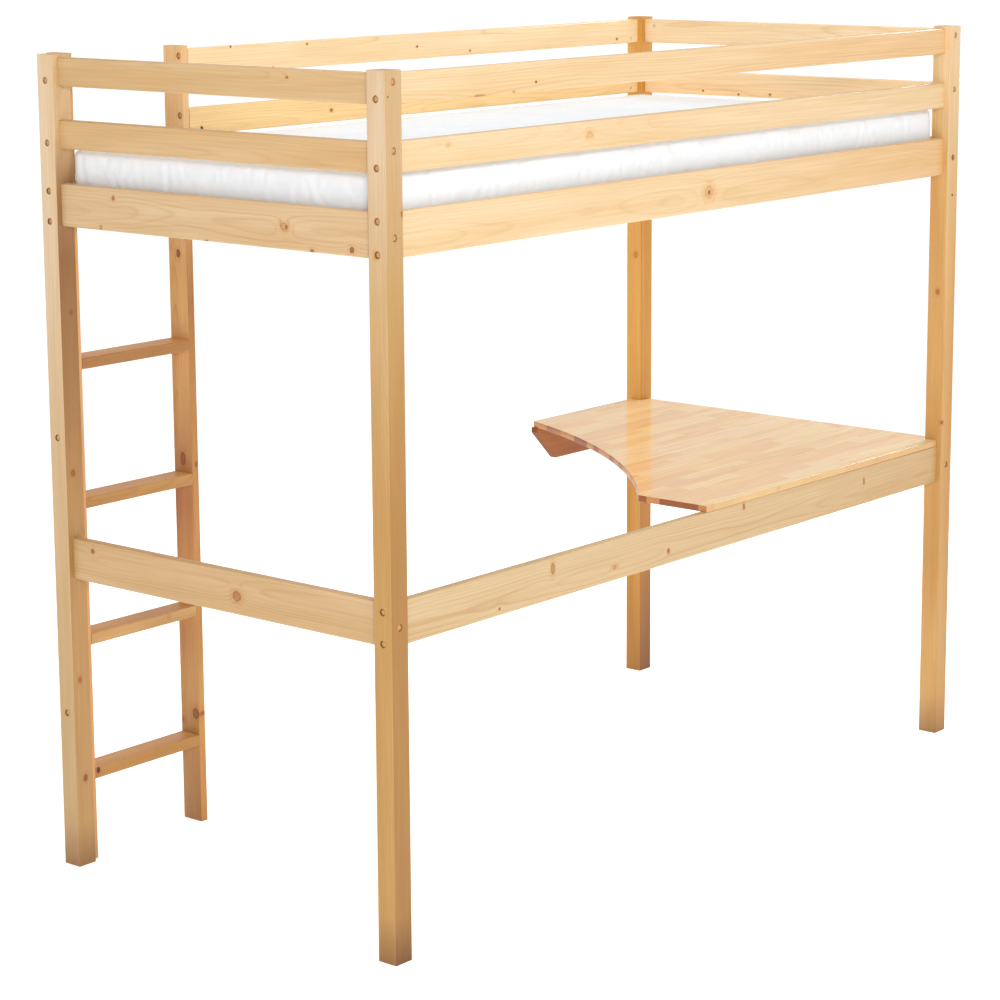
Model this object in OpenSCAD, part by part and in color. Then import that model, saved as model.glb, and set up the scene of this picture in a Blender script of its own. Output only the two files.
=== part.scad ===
// Loft bed with a desk underneath. Four square posts carry bolted rails on three sides and a
// guard rail on the fourth, where a fixed ladder leads up to an open entry. The mattress lies on
// slats, and a desktop with a curved cut-out sits on the low rails at one end.
// The drawing starts from the outer corner of the front left post: X runs along the bed,
// Y across it towards the ladder, Z up. placed() then moves the origin to the middle of the floor.

/* [Mattress] */
// Length of the mattress
mattress_l = 2000; // [1900:10:2050]
// Width of the mattress
mattress_w = 900; // [860:10:950]
// Thickness of the mattress
mattress_t = 118; // [90:1:118]
// Free play between the mattress and the frame, in total
mattress_play = 10; // [6:1:20]

/* [Timber] */
// Side of the square corner posts
post_w = 48; // [46:1:52]
// Thickness of rails, boards and ladder stiles
board_t = 20; // [19:0.5:21]
// Height of a guard rail
guard_h = 60; // [56:1:64]
// Height of a side board, end board or desk rail
board_h = 90; // [86:1:96]
// How far the rails sit back from the outer faces of the posts
rail_recess = 14; // [12:0.5:15]
// Radius of the eased long edges
edge_r = 2.5; // [1:0.5:4]

/* [Levels] */
// Height of the posts and stiles
post_h = 1766; // [1764:1:1800]
// Underside of the upper guard rails
guard_upper_z = 1700; // [1690:1:1704]
// Underside of the lower guard rails
guard_lower_z = 1570; // [1570:1:1590]
// Underside of the side and end boards
side_z = 1407; // [1400:1:1410]
// Underside of the desk rails
desk_rail_z = 645; // [600:1:700]

/* [Ladder] */
// Depth of the stiles and rungs
stile_w = 58; // [52:1:64]
// Clear width between the stiles
ladder_gap = 316; // [280:2:340]
// Height of the lowest rung's underside
first_rung_z = 181; // [160:1:200]
// Rise from one rung to the next
rung_pitch = 304; // [290:1:306]
// Thickness of a rung
rung_t = 25; // [22:1:28]
// Number of rungs
rung_count = 4; // [3:1:4]

/* [Desk] */
// Length of the desktop along the bed
desk_l = 1004; // [900:2:1100]
// Thickness of the desktop
desk_t = 15; // [14:1:18]
// Length of the desktop's straight left edge
desk_straight = 190; // [150:5:240]
// Length of the desktop's back edge
desk_back_l = 447; // [430:1:500]
// Depth of the curved cut-out, measured from its chord
desk_sag = 66; // [50:1:80]

/* [Base] */
// Number of slats
slat_count = 14; // [12:1:14]
// Width of a slat
slat_w = 70; // [60:1:75]
// Thickness of a slat
slat_t = 16; // [14:1:16]
// Width of a slat ledger
ledger_w = 28; // [24:1:30]
// Height of a slat ledger
ledger_h = 26; // [22:1:26]

/* [Hardware] */
// Radius of the counterbored holes in the posts
counterbore_r = 7.5; // [7:0.25:8]
// Depth of the counterbores
counterbore_d = 10; // [9:0.5:12]
// Radius of the frame bolts' shanks
bolt_r = 3; // [2.5:0.25:3.5]
// Radius of the barrel nuts
nut_r = 5; // [4.5:0.25:5.5]
// Distance of the barrel nuts from the rail ends
nut_inset = 30; // [28:1:36]

/* [Hidden] */
$fn = 32;
frame_l = mattress_l + mattress_play + 2 * (rail_recess + board_t);
frame_w = mattress_w + mattress_play + 2 * (rail_recess + board_t);
inner_face = rail_recess + board_t;
back_inner_y = frame_w - inner_face;
depth_all = back_inner_y + stile_w;
stile_left_x = post_w;
stile_right_x = post_w + board_t + ladder_gap;
desk_z = desk_rail_z + board_h;
bolt_clearance = 0.4;
bolt_head_r = 6.5;
bolt_head_h = 4;
bolt_past_nut = 5;
bolt_hole_spare = 2;
socket_r = 2.6;
socket_d = 2.6;
guard_bolt_z = 12;
board_bolt_z = 10;
upper_hole_in = 16;
end_bolt_off_middle = 3;
guard_end_dowel_z = 14;
board_end_dowel_in = 13;
nut_depth = 17;
nut_below = 1.5;
nut_gap = 0.5;
nut_slot_w = 1.2;
dowel_r = 4;
dowel_half = 15;
dowel_gap = 0.5;
cap_below = 2.4;
cap_t = 3.4;
cap_dome_w = 3;
cap_dome_h = 2.4;
cap_seat = 6;
insert_r = 5;
insert_l = 14;
fit_gap = 0.05;
soft_gap = 0.5;
ledger_z = side_z + 2;
slat_z = ledger_z + ledger_h;
mattress_z = slat_z + slat_t + soft_gap;
ledger_end = 92;
slat_end_gap = 2;
slat_screw_in = 14;
screw_r = 2;
screw_head_r = 4;
screw_head_h = 2.4;
screw_point_l = 3;
guard_screw_l = 45;
rung_screw_l = 50;
ledger_screw_l = 40;
slat_screw_l = 32;
rung_screw_edge = 15;
bracket_w = 20;
bracket_leg = 30;
bracket_t = 2;
bracket_screw_l = 13;
bracket_screw_out = 20;
mattress_corner_r = 34;
post_notch_gap = 0.5;
desk_tail_past = 8;
desk_tail_lip = 13;
// How far every cutting shape runs past the surface that it cuts
past = 1;

// Colours of the lacquered pine, the desktop, the metal parts and the fabric
pine = [0.90, 0.75, 0.52];
pine_dark = [0.83, 0.66, 0.43];
desk_wood = [0.89, 0.70, 0.48];
cap_wood = [0.80, 0.60, 0.34];
steel = [0.75, 0.76, 0.78];
white_cloth = [0.96, 0.96, 0.96];

// Holes along a rail's end: bolt heights and dowel heights above the rail's underside.
// Bolts along the bed and bolts across it sit at different heights, so they pass in a post.
function is_guard(h) = h == guard_h;
function long_bolts(h) = is_guard(h) ? [guard_bolt_z] : [board_bolt_z, h - upper_hole_in];
function long_dowels(h) = is_guard(h) ? [h - upper_hole_in] : [];
function end_bolts(h) = is_guard(h) ? [h - upper_hole_in] : [h / 2 - end_bolt_off_middle];
function end_dowels(h) =
    is_guard(h) ? [guard_end_dowel_z] : [board_end_dowel_in, h - board_end_dowel_in];

// A rail: [side, underside, height, length, bolt heights, dowel heights, what holds its far end].
// Sides 0 to 3 are the front, the right end, the back and the left end, anticlockwise.
function side_l(side) = (side % 2 == 0 ? frame_l : frame_w) - 2 * post_w;
function rail(side, z, h, len, far) = [
    side, z, h, len,
    side % 2 == 0 ? long_bolts(h) : end_bolts(h),
    side % 2 == 0 ? long_dowels(h) : end_dowels(h),
    far];
function full_rail(side, z, h) = rail(side, z, h, side_l(side), "post");
back_guard_l = frame_l - post_w - stile_right_x - board_t;
desk_back_rail_l = desk_back_l - post_w + rail_recess + desk_tail_past;
desk_from = frame_l - rail_recess - desk_l - post_w;

GUARD_FRONT_UPPER = full_rail(0, guard_upper_z, guard_h);
GUARD_FRONT_LOWER = full_rail(0, guard_lower_z, guard_h);
SIDE_FRONT = full_rail(0, side_z, board_h);
DESK_FRONT = full_rail(0, desk_rail_z, board_h);
GUARD_RIGHT_UPPER = full_rail(1, guard_upper_z, guard_h);
GUARD_RIGHT_LOWER = full_rail(1, guard_lower_z, guard_h);
END_RIGHT = full_rail(1, side_z, board_h);
DESK_RIGHT = full_rail(1, desk_rail_z, board_h);
GUARD_BACK_UPPER = rail(2, guard_upper_z, guard_h, back_guard_l, "stile");
GUARD_BACK_LOWER = rail(2, guard_lower_z, guard_h, back_guard_l, "stile");
SIDE_BACK = full_rail(2, side_z, board_h);
DESK_BACK = rail(2, desk_rail_z, board_h, desk_back_rail_l, "free");
GUARD_LEFT_UPPER = full_rail(3, guard_upper_z, guard_h);
GUARD_LEFT_LOWER = full_rail(3, guard_lower_z, guard_h);
END_LEFT = full_rail(3, side_z, board_h);
DESK_LEFT = full_rail(3, desk_rail_z, board_h);
RAILS = [
    GUARD_FRONT_UPPER, GUARD_FRONT_LOWER, SIDE_FRONT, DESK_FRONT,
    GUARD_RIGHT_UPPER, GUARD_RIGHT_LOWER, END_RIGHT, DESK_RIGHT,
    GUARD_BACK_UPPER, GUARD_BACK_LOWER, SIDE_BACK, DESK_BACK,
    GUARD_LEFT_UPPER, GUARD_LEFT_LOWER, END_LEFT, DESK_LEFT];

// Bolts that hold the left stile to the back left post, through the post
first_gap_z = first_rung_z + (rung_t + rung_pitch) / 2;
stile_bolt_z = [
    first_gap_z, first_gap_z + 2 * rung_pitch,
    guard_lower_z + guard_bolt_z, guard_upper_z + guard_bolt_z];
rung_z = [for (i = [0 : rung_count - 1]) first_rung_z + i * rung_pitch];
ledger_l = frame_l - 2 * ledger_end;
slat_pitch = (ledger_l - slat_w) / (slat_count - 1);
slat_x = [for (i = [0 : slat_count - 1]) ledger_end + i * slat_pitch];
// Angle brackets under the desktop: [side, distance along the rail]
desk_bracket_at = [
    [0, desk_from + 150], [0, desk_from + 490], [0, desk_from + 830], [1, 230], [1, 600],
    [2, 110], [2, 300]];

SLATS = [for (i = [1 : slat_count]) str("slat_", i)];
RUNGS = [for (i = [1 : rung_count]) str("rung_", i)];

// Moves the drawing so that its origin is the middle of its footprint on the floor
module placed() {
    translate([-frame_l / 2, -depth_all / 2, 0]) children();
}

// Section of a planed timber with eased edges
module eased_section(w, h, r = edge_r) {
    translate([r, 0]) square([w - 2 * r, h]);
    translate([0, r]) square([w, h - 2 * r]);
    for (x = [r, w - r], y = [r, h - r]) {
        translate([x, y]) circle(r = r);
    }
}

// A timber that lies along X, from the origin
module beam(len, t, h) {
    rotate([90, 0, 90]) linear_extrude(len) eased_section(t, h);
}

// A timber that stands up, from the origin
module upright(w, d, h) {
    linear_extrude(h) eased_section(w, d);
}

// Local frame of a side: X along the rails from their first post, Y inwards from their outer faces
module on_side(side) {
    start = [
        [post_w, rail_recess], [frame_l - rail_recess, post_w],
        [frame_l - post_w, frame_w - rail_recess], [rail_recess, frame_w - post_w]][side];
    translate([start[0], start[1], 0]) rotate([0, 0, 90 * side]) children();
}

// Both ends of a rail that are bolted, with +X pointing into the rail. $depth is the
// thickness of the timber that the bolt passes through first.
module at_start(r) {
    on_side(r[0]) translate([0, 0, r[1]]) {
        $depth = post_w;
        children();
    }
}
module at_far(r) {
    $depth = r[6] == "stile" ? board_t : post_w;
    on_side(r[0]) translate([r[3], 0, r[1]]) mirror([1, 0, 0]) children();
}
module at_joints(r) {
    at_start(r) children();
    if (r[6] != "free") at_far(r) children();
}

// A shape of revolution along +X, from x = 0
module along_x() {
    rotate([0, 90, 0]) children();
}

// Everything drilled for one joint: counterbores, bolt holes, nut holes and dowel holes. Where
// a guard rail meets the thin stile, a capped screw takes the dowel's place.
module joint_holes(r) {
    bolt_hole_l = $depth + nut_inset + bolt_past_nut + bolt_hole_spare;
    for (z = r[4]) {
        translate([-$depth - past, board_t / 2, z]) along_x()
            cylinder(r = counterbore_r, h = counterbore_d + past);
        translate([-$depth, board_t / 2, z]) along_x()
            cylinder(r = bolt_r + bolt_clearance, h = bolt_hole_l);
        translate([nut_inset, board_t - nut_depth, z]) rotate([-90, 0, 0])
            cylinder(r = nut_r + fit_gap, h = nut_depth + past);
    }
    if ($depth == post_w) {
        for (z = r[5]) {
            translate([-dowel_half - dowel_gap, board_t / 2, z]) along_x()
                cylinder(r = dowel_r + fit_gap, h = 2 * (dowel_half + dowel_gap));
        }
    } else {
        for (z = r[5]) {
            translate([-$depth - past, board_t / 2, z]) along_x()
                cylinder(r = counterbore_r, h = cap_seat + past);
        }
        joint_screws(r, fit_gap);
    }
}

// Countersunk screws under caps, from the stile into a guard rail's end
module joint_screws(r, grow = 0) {
    for (z = r[5]) {
        translate([-$depth + cap_seat, board_t / 2, z]) rotate([0, -90, 0])
            screw(guard_screw_l, grow);
    }
}

// A hex socket bolt along +X; its head's outer face is at x = 0
module socket_bolt(shank_l) {
    along_x() difference() {
        union() {
            cylinder(r = bolt_head_r, h = bolt_head_h);
            cylinder(r = bolt_r, h = bolt_head_h + shank_l);
        }
        translate([0, 0, -past]) cylinder(r = socket_r, h = socket_d + past, $fn = 6);
    }
}

module joint_bolts(r) {
    for (z = r[4]) {
        translate([-$depth + counterbore_d - bolt_head_h, board_t / 2, z])
            socket_bolt($depth - counterbore_d + nut_inset + bolt_past_nut);
    }
}

// Barrel nut with a cross hole for the bolt and a screwdriver slot
module joint_nuts(r) {
    nut_l = nut_depth - nut_gap - nut_below;
    nut_y = board_t - nut_depth + nut_gap;
    across = 2 * (nut_r + past);
    for (z = r[4]) {
        translate([nut_inset, nut_y, z]) difference() {
            rotate([-90, 0, 0]) cylinder(r = nut_r, h = nut_l);
            translate([-across / 2, board_t / 2 - nut_y, 0]) along_x()
                cylinder(r = bolt_r + fit_gap, h = across);
            translate([-across / 2, nut_l - nut_slot_w, -nut_slot_w / 2])
                cube([across, nut_slot_w + past, nut_slot_w]);
        }
    }
}

// Round cap with a bevelled rim along +X; its outer face is at x = 0
module cap() {
    r = counterbore_r - fit_gap;
    along_x() rotate_extrude()
        polygon([
            [0, 0], [r - cap_dome_w, 0], [r - cap_dome_w / 3, cap_dome_h / 3],
            [r, cap_dome_h], [r, cap_t], [0, cap_t]]);
}

module joint_caps(r) {
    for (z = $depth == post_w ? r[4] : concat(r[4], r[5])) {
        translate([-$depth + cap_below, board_t / 2, z]) cap();
    }
}

module joint_dowels(r) {
    if ($depth == post_w) {
        for (z = r[5]) {
            translate([-dowel_half, board_t / 2, z]) along_x()
                cylinder(r = dowel_r, h = 2 * dowel_half);
        }
    }
}

// One rail in its place
module rail_solid(r) {
    color(pine) difference() {
        on_side(r[0]) translate([0, 0, r[1]]) beam(r[3], board_t, r[2]);
        at_joints(r) joint_holes(r);
    }
}

// Holes for the bolts that hold the left stile to its post
module stile_bolt_holes() {
    for (z = stile_bolt_z) {
        translate([-past, frame_w - post_w / 2, z]) along_x() {
            cylinder(r = counterbore_r, h = counterbore_d + past);
            cylinder(r = bolt_r + bolt_clearance, h = post_w + insert_l + bolt_hole_spare);
        }
        translate([post_w, frame_w - post_w / 2, z]) along_x()
            cylinder(r = insert_r + fit_gap, h = insert_l + fit_gap);
    }
}

// Corner post k: 0 front left, 1 front right, 2 back right, 3 back left
module post(k) {
    at = [[0, 0], [frame_l - post_w, 0], [frame_l - post_w, frame_w - post_w], [0, frame_w - post_w]][k];
    color(pine) difference() {
        translate([at[0], at[1], 0]) upright(post_w, post_w, post_h);
        for (r = RAILS) {
            if (r[0] == k) at_start(r) joint_holes(r);
            if (r[0] == (k + 3) % 4 && r[6] == "post") at_far(r) joint_holes(r);
        }
        if (k == 3) stile_bolt_holes();
    }
}

// Countersunk wood screw that points down from z = 0; grow widens it for its hole
module screw(len, grow = 0) {
    r = screw_r + grow;
    rotate_extrude() polygon([
        [0, 0], [screw_head_r + grow, 0], [r, -screw_head_h - grow],
        [r, screw_point_l - len], [0, -len - grow]]);
}

// Rung screws: heads on the outer faces of the stiles, points in the rungs' ends
module rung_screw_set(grow = 0) {
    for (z = rung_z, y = [rung_screw_edge, stile_w - rung_screw_edge]) {
        translate([stile_left_x, back_inner_y + y, z + rung_t / 2]) rotate([0, -90, 0])
            screw(rung_screw_l, grow);
        translate([stile_right_x + board_t, back_inner_y + y, z + rung_t / 2]) rotate([0, 90, 0])
            screw(rung_screw_l, grow);
    }
}

// Stile: a full-height board with a housing where the back side board passes
module stile(x) {
    color(pine_dark) difference() {
        translate([x, back_inner_y, 0]) upright(board_t, stile_w, post_h);
        translate([x - past, back_inner_y - past, side_z - fit_gap])
            cube([board_t + 2 * past, board_t + past + fit_gap, board_h + 2 * fit_gap]);
        rung_screw_set(fit_gap);
        if (x == stile_left_x) stile_bolt_holes();
        if (x == stile_right_x) {
            at_far(GUARD_BACK_UPPER) joint_holes(GUARD_BACK_UPPER);
            at_far(GUARD_BACK_LOWER) joint_holes(GUARD_BACK_LOWER);
        }
    }
}

module rung(i) {
    color(pine_dark) difference() {
        translate([stile_left_x + board_t, back_inner_y, rung_z[i]]) beam(ladder_gap, stile_w, rung_t);
        rung_screw_set(fit_gap);
    }
}

// A rail that the desktop rests on and is screwed to
module desk_rail_solid(r) {
    color(pine) difference() {
        rail_solid(r);
        at_desk_brackets() bracket_screws(fit_gap);
    }
}

// The back desk rail ends in a slanting cut under the tip of the desktop
module desk_rail_back() {
    cut = 2 * board_h;
    color(pine) difference() {
        desk_rail_solid(DESK_BACK);
        on_side(2) translate([desk_back_rail_l, -past, desk_rail_z + board_h - desk_tail_lip])
            rotate([0, 45, 0]) translate([0, 0, -cut]) cube([cut, board_t + 2 * past, cut]);
    }
}

// Desktop: flush with the outer faces of the desk rails, notched around two posts, with a
// circular cut-out where the user sits
module desktop() {
    x0 = frame_l - rail_recess - desk_l;
    y0 = rail_recess;
    desk_w = frame_w - 2 * rail_recess;
    a = [x0, y0 + desk_straight];
    b = [frame_l - rail_recess - desk_back_l, y0 + desk_w];
    chord = norm(b - a);
    radius = (chord * chord / 4 + desk_sag * desk_sag) / (2 * desk_sag);
    into_desk = [b[1] - a[1], a[0] - b[0]] / chord;
    centre = (a + b) / 2 - into_desk * (radius - desk_sag);
    color(desk_wood) difference() {
        translate([0, 0, desk_z]) linear_extrude(desk_t) difference() {
            translate([x0, y0]) square([desk_l, desk_w]);
            translate(centre) circle(r = radius, $fn = 360);
            for (y = [-past, frame_w - post_w - post_notch_gap]) {
                translate([frame_l - post_w - post_notch_gap, y])
                    square([post_w, post_w + past + post_notch_gap]);
            }
        }
        at_desk_brackets() bracket_screws(fit_gap);
    }
}

// Ledger screws: from the ledgers' inner faces into the side boards, between the slats
module ledger_screw_set(grow = 0) {
    for (i = [0 : 2 : slat_count - 2]) {
        x = slat_x[i] + (slat_w + slat_pitch) / 2;
        translate([x, inner_face + ledger_w, ledger_z + ledger_h / 2]) rotate([-90, 0, 0])
            screw(ledger_screw_l, grow);
        translate([x, back_inner_y - ledger_w, ledger_z + ledger_h / 2]) rotate([90, 0, 0])
            screw(ledger_screw_l, grow);
    }
}

// Slat screws: one through each end of a slat, down into the ledger
module slat_screw_set(grow = 0) {
    for (x = slat_x, y = [inner_face + slat_screw_in, back_inner_y - slat_screw_in]) {
        translate([x + slat_w / 2, y, slat_z + slat_t]) screw(slat_screw_l, grow);
    }
}

module side_board(r) {
    color(pine) difference() {
        rail_solid(r);
        ledger_screw_set(fit_gap);
    }
}

module slat_ledger(y) {
    color(pine_dark) difference() {
        translate([ledger_end, y, ledger_z]) beam(ledger_l, ledger_w, ledger_h);
        ledger_screw_set(fit_gap);
        slat_screw_set(fit_gap);
    }
}

module slat(i) {
    slat_l = back_inner_y - inner_face - 2 * slat_end_gap;
    color(pine) difference() {
        translate([slat_x[i] + slat_w, inner_face + slat_end_gap, slat_z])
            rotate([0, 0, 90]) beam(slat_l, slat_w, slat_t);
        slat_screw_set(fit_gap);
    }
}

module mattress() {
    color(white_cloth)
        translate([(frame_l - mattress_l) / 2, (frame_w - mattress_w) / 2, mattress_z])
        linear_extrude(mattress_t) eased_section(mattress_l, mattress_w, mattress_corner_r);
}

module frame_bolts() {
    color(steel) for (r = RAILS) at_joints(r) joint_bolts(r);
}

module barrel_nuts() {
    color(steel) for (r = RAILS) at_joints(r) joint_nuts(r);
}

// Caps close the counterbores, apart from one bolt on the front right post
module bolt_caps() {
    color(cap_wood) {
        for (r = RAILS) {
            if (r != END_RIGHT) at_start(r) joint_caps(r);
            if (r[6] != "free") at_far(r) joint_caps(r);
        }
        for (z = stile_bolt_z) {
            translate([cap_below, frame_w - post_w / 2, z]) cap();
        }
    }
}

module rail_dowels() {
    color(cap_wood) for (r = RAILS) at_joints(r) joint_dowels(r);
}

module stile_bolts() {
    color(steel) for (z = stile_bolt_z) {
        translate([counterbore_d - bolt_head_h, frame_w - post_w / 2, z])
            socket_bolt(post_w - counterbore_d + insert_l - past);
    }
}

// Flanged threaded inserts in the left stile
module stile_insert_nuts() {
    color(steel) for (z = stile_bolt_z) {
        translate([post_w, frame_w - post_w / 2, z]) along_x() difference() {
            cylinder(r = insert_r, h = insert_l);
            translate([0, 0, -past]) cylinder(r = bolt_r + fit_gap, h = insert_l + 2 * past);
        }
    }
}

// Screws that join the back guard rails to the right stile, above their bolts
module guard_screws() {
    color(steel) for (r = [GUARD_BACK_UPPER, GUARD_BACK_LOWER]) at_far(r) joint_screws(r);
}

// Local frame of an angle bracket: the corner where a desk rail's inner face meets the desktop
module at_desk_brackets() {
    for (at = desk_bracket_at) {
        on_side(at[0]) translate([at[1], board_t, desk_z]) children();
    }
}

module desk_angle_brackets() {
    color(steel) at_desk_brackets() difference() {
        union() {
            translate([0, 0, -bracket_leg]) cube([bracket_w, bracket_t, bracket_leg]);
            translate([0, 0, -bracket_t]) cube([bracket_w, bracket_leg, bracket_t]);
        }
        bracket_screws(fit_gap);
    }
}

// Two screws in each bracket: one into the rail and one up into the desktop
module bracket_screws(grow = 0) {
    translate([bracket_w / 2, bracket_t, -bracket_screw_out]) rotate([-90, 0, 0])
        screw(bracket_screw_l, grow);
    translate([bracket_w / 2, bracket_screw_out, -bracket_t]) rotate([180, 0, 0])
        screw(bracket_screw_l, grow);
}

placed() post(0);  // post_front_left
placed() post(1);  // post_front_right
placed() post(2);  // post_back_right
placed() post(3);  // post_back_left
placed() stile(stile_left_x);  // ladder_stile_left
placed() stile(stile_right_x);  // ladder_stile_right
placed() side_board(SIDE_FRONT);  // side_board_front
placed() side_board(SIDE_BACK);  // side_board_back
placed() rail_solid(END_LEFT);  // end_board_left
placed() rail_solid(END_RIGHT);  // end_board_right
placed() rail_solid(GUARD_FRONT_UPPER);  // guard_rail_front_upper
placed() rail_solid(GUARD_FRONT_LOWER);  // guard_rail_front_lower
placed() rail_solid(GUARD_RIGHT_UPPER);  // guard_rail_right_upper
placed() rail_solid(GUARD_RIGHT_LOWER);  // guard_rail_right_lower
placed() rail_solid(GUARD_BACK_UPPER);  // guard_rail_back_upper
placed() rail_solid(GUARD_BACK_LOWER);  // guard_rail_back_lower
placed() rail_solid(GUARD_LEFT_UPPER);  // guard_rail_left_upper
placed() rail_solid(GUARD_LEFT_LOWER);  // guard_rail_left_lower
placed() desk_rail_solid(DESK_FRONT);  // desk_rail_front
placed() desk_rail_solid(DESK_RIGHT);  // desk_rail_right
placed() desk_rail_back();
placed() rail_solid(DESK_LEFT);  // desk_rail_left
placed() desktop();
placed() slat_ledger(inner_face);  // slat_ledger_front
placed() slat_ledger(back_inner_y - ledger_w);  // slat_ledger_back
placed() mattress();
placed() frame_bolts();
placed() barrel_nuts();
placed() bolt_caps();
placed() rail_dowels();
placed() stile_bolts();
placed() stile_insert_nuts();
placed() guard_screws();
placed() color(steel) rung_screw_set();  // rung_screws
placed() color(steel) ledger_screw_set();  // ledger_screws
placed() color(steel) slat_screw_set();  // slat_screws
placed() desk_angle_brackets();
placed()  // desk_bracket_screws
    color(steel) at_desk_brackets() bracket_screws();
for (i = [0 : rung_count - 1]) {
    placed() rung(i);
}
for (i = [0 : slat_count - 1]) {
    placed() slat(i);
}
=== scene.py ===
"""Loft bed with desk: materials, the made-up mattress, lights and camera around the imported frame.

All positions are in metres in the frame's own axes, apart from the knots'. A knot's place and
radii are in millimetres, and its place is from the outer corner of the front left post."""

import math

import bmesh
import bpy
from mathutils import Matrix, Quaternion, Vector


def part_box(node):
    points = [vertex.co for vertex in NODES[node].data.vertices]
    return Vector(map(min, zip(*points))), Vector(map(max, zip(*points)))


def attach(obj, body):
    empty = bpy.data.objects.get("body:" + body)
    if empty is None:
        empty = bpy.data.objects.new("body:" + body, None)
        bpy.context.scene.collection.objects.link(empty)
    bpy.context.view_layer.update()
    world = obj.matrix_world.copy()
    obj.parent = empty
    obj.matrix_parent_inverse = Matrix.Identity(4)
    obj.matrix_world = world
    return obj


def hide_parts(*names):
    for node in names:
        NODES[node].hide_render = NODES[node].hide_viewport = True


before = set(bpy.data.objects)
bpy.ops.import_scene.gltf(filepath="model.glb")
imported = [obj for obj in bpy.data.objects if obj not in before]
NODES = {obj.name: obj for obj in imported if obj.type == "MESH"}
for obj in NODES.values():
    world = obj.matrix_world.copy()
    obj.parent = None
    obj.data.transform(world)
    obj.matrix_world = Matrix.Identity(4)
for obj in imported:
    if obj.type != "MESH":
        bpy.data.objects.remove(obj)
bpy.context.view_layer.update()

MM = 0.001
CORNER = Vector((-1.039, -0.501, 0.0))
X, Y, Z = 0, 1, 2


def placed(point):
    """A point in millimetres from the corner of the front left post, in the frame's axes."""
    return CORNER + Vector(point) * MM


def srgb(red, green, blue):
    """A colour of 0 to 255 as the linear values that shaders take."""
    out = []
    for value in (red, green, blue):
        share = value / 255
        out.append(share / 12.92 if share <= 0.04045 else ((share + 0.055) / 1.055) ** 2.4)
    return tuple(out)


# ---------------------------------------------------------------- camera

SENSOR_WIDTH = 36.0
CLIP_END = 300.0
CAMERA_PLACE = (-5.0063, -4.0962, 2.1023)
CAMERA_YAW = 0.69663
CAMERA_PITCH = -0.18504
CAMERA_ROLL = -0.00624
CAMERA_LENS = 102.514
CAMERA_SHIFT = (0.0, -0.08)


def make_camera():
    """A camera at the photograph's viewing angle. It is pitched down where the photograph has a
    large upward shift, because that much shift would push the bed out of the other views."""
    data = bpy.data.cameras.new("camera")
    data.sensor_fit = "HORIZONTAL"
    data.sensor_width = SENSOR_WIDTH
    data.lens = CAMERA_LENS
    data.shift_x, data.shift_y = CAMERA_SHIFT
    data.clip_end = CLIP_END
    camera = bpy.data.objects.new("camera", data)
    camera.location = CAMERA_PLACE
    ahead = math.cos(CAMERA_PITCH)
    east, north = math.cos(CAMERA_YAW) * ahead, math.sin(CAMERA_YAW) * ahead
    aimed = Vector((east, north, math.sin(CAMERA_PITCH))).to_track_quat("-Z", "Y")
    camera.rotation_mode = "QUATERNION"
    camera.rotation_quaternion = aimed @ Quaternion((0.0, 0.0, 1.0), CAMERA_ROLL)
    bpy.context.scene.collection.objects.link(camera)
    bpy.context.scene.camera = camera


# ---------------------------------------------------------------- shader graphs


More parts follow.
